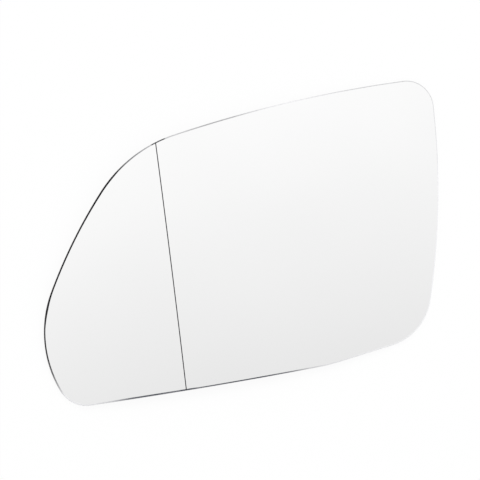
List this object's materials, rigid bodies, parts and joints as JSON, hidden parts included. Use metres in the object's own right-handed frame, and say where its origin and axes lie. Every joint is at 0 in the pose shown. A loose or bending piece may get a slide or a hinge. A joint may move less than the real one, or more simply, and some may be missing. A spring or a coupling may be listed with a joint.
{
  "type": "car door mirror glass",
  "caption": "Convex left door mirror glass with an aspheric outer zone, a fine etched dividing line and ground edges, bonded by its back to a carrier plate.",
  "frame": {"origin": "on the level that the back rim rests on, under the middle of the outline", "axes": "+X to the inner end, +Y along the etched line to the upper edge, +Z out of the reflecting face"},
  "size_m": [0.1738, 0.1192, 0.0073],
  "materials": {
    "silvered_glass": "polished, silvered, with a ground edge and a dark painted back"
  },
  "bodies": {
    "root": {"mirror_glass": "silvered_glass"}
  },
  "joints": []
}
